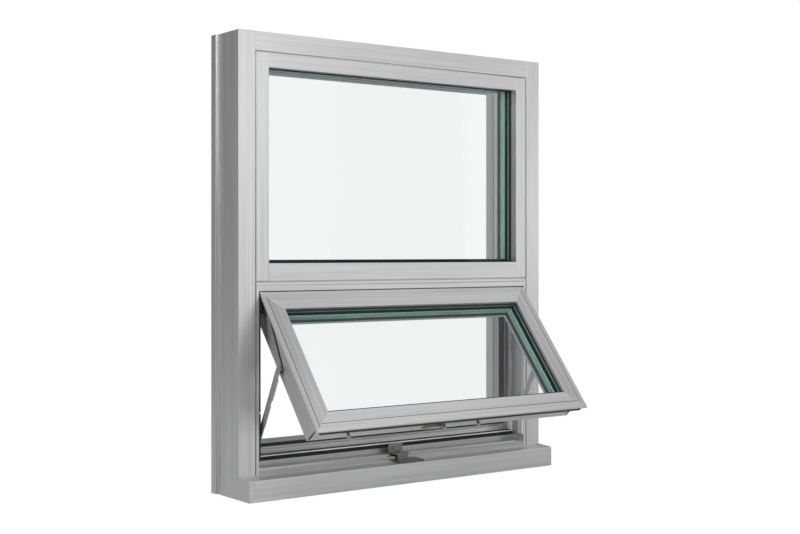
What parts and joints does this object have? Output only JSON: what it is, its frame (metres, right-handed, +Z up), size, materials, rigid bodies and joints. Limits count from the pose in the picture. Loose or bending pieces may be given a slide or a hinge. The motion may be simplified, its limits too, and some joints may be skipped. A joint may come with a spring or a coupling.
{
  "type": "top-hung window with fixed light",
  "caption": "Aluminium window: fixed light above a top-hung vent that opens outwards on side stays, with sill nose, sealed glass units and a lever-driven lock bar.",
  "frame": {"origin": "middle of the sill's underside, at half the frame's depth", "axes": "+Z up, +Y towards the room, +X to the right seen from outside"},
  "size_m": [0.909, 0.3591, 1.055],
  "materials": {
    "frame_aluminium": "satin anodised, fine lengthwise brushing",
    "vent_aluminium": "satin anodised, fine lengthwise brushing",
    "handle_metal": "satin anodised casting",
    "hardware_steel": "brushed stainless and zinc-plated steel",
    "glass": "clear float glass with green edges",
    "spacer": "matt dark warm-edge spacer",
    "gasket": "matt black extruded rubber",
    "polyamide": "matt grey insulating bar"
  },
  "bodies": {
    "frame": {"jamb_left_outer": "frame_aluminium", "jamb_right_outer": "frame_aluminium", "head_outer": "frame_aluminium", "sill_outer": "frame_aluminium", "jamb_left_inner": "frame_aluminium", "jamb_right_inner": "frame_aluminium", "head_inner": "frame_aluminium", "sill_inner": "frame_aluminium", "sill_nose": "frame_aluminium", "nose_end_caps": "frame_aluminium", "transom": "frame_aluminium", "fixed_rail_top": "frame_aluminium", "fixed_rail_bottom": "frame_aluminium", "fixed_stile_left": "frame_aluminium", "fixed_stile_right": "frame_aluminium", "fixed_glazing_beads": "frame_aluminium", "subframe_head": "frame_aluminium", "subframe_jamb_left": "frame_aluminium", "subframe_jamb_right": "frame_aluminium", "subframe_sill": "frame_aluminium", "thermal_breaks": "polyamide", "fixed_pane_outer": "glass", "fixed_pane_middle": "glass", "fixed_pane_inner": "glass", "fixed_spacers": "spacer", "fixed_gasket_outer": "gasket", "fixed_gasket_inner": "gasket", "fixed_setting_blocks": "gasket", "weatherstrip": "gasket", "inner_seal": "gasket", "stay_track_left": "hardware_steel", "stay_track_right": "hardware_steel", "sill_keeper": "hardware_steel", "frame_screws": "hardware_steel"},
    "vent": {"vent_rail_top": "vent_aluminium", "vent_rail_bottom": "vent_aluminium", "vent_stile_left": "vent_aluminium", "vent_stile_right": "vent_aluminium", "vent_pane_outer": "glass", "vent_pane_middle": "glass", "vent_pane_inner": "glass", "vent_spacers": "spacer", "vent_gasket_outer": "gasket", "vent_gasket_inner": "gasket", "vent_glazing_beads": "vent_aluminium", "vent_setting_blocks": "gasket", "vent_corner_keys": "hardware_steel", "sash_bar_left": "hardware_steel", "sash_bar_right": "hardware_steel", "lock_rail": "vent_aluminium", "lock_gear_case": "hardware_steel", "handle_base": "handle_metal", "vent_screws": "hardware_steel"},
    "stay_arm_left": {"stay_arm_left": "hardware_steel"},
    "stay_arm_right": {"stay_arm_right": "hardware_steel"},
    "stay_shoe_left": {"stay_shoe_left": "hardware_steel"},
    "stay_shoe_right": {"stay_shoe_right": "hardware_steel"},
    "lock_bar": {"lock_bar": "hardware_steel", "lock_rollers": "hardware_steel"},
    "handle": {"handle": "handle_metal"}
  },
  "joints": [
    {"name": "vent_tilt", "type": "hinge", "parent": "frame", "child": "vent", "pos_m": [0, -0.0505, 0.4545], "axis": [-1, 0, 0], "range_deg": [-39.5, 10.5]},
    {"name": "arm_left_fold", "type": "hinge", "parent": "vent", "child": "stay_arm_left", "pos_m": [-0.388, -0.13195, 0.29601], "axis": [-1, 0, 0], "range_deg": [-21.1, 79.1]},
    {"name": "shoe_left_turn", "type": "hinge", "parent": "stay_arm_left", "child": "stay_shoe_left", "pos_m": [-0.388, -0.0505, 0.13751], "axis": [-1, 0, 0], "range_deg": [-39.6, 10.6]},
    {"name": "arm_right_fold", "type": "hinge", "parent": "vent", "child": "stay_arm_right", "pos_m": [0.388, -0.13195, 0.29601], "axis": [-1, 0, 0], "range_deg": [-21.1, 79.1]},
    {"name": "shoe_right_turn", "type": "hinge", "parent": "stay_arm_right", "child": "stay_shoe_right", "pos_m": [0.388, -0.0505, 0.13751], "axis": [-1, 0, 0], "range_deg": [-39.6, 10.6]},
    {"name": "handle_turn", "type": "hinge", "parent": "vent", "child": "handle", "pos_m": [-0.05, -0.21436, 0.16061], "axis": [0, -0.7716, 0.6361], "range_deg": [0, 90]},
    {"name": "lock_slide", "type": "slide", "parent": "vent", "child": "lock_bar", "axis": [1, 0, 0], "range_m": [0, 0.0181]}
  ],
  "couplings": [
    {"joint": "arm_left_fold", "follows": "vent_tilt", "ratio": -2},
    {"joint": "shoe_left_turn", "follows": "vent_tilt", "ratio": 1},
    {"joint": "arm_right_fold", "follows": "vent_tilt", "ratio": -2},
    {"joint": "shoe_right_turn", "follows": "vent_tilt", "ratio": 1},
    {"joint": "lock_slide", "follows": "handle_turn", "m_per_rad": 0.011459}
  ]
}
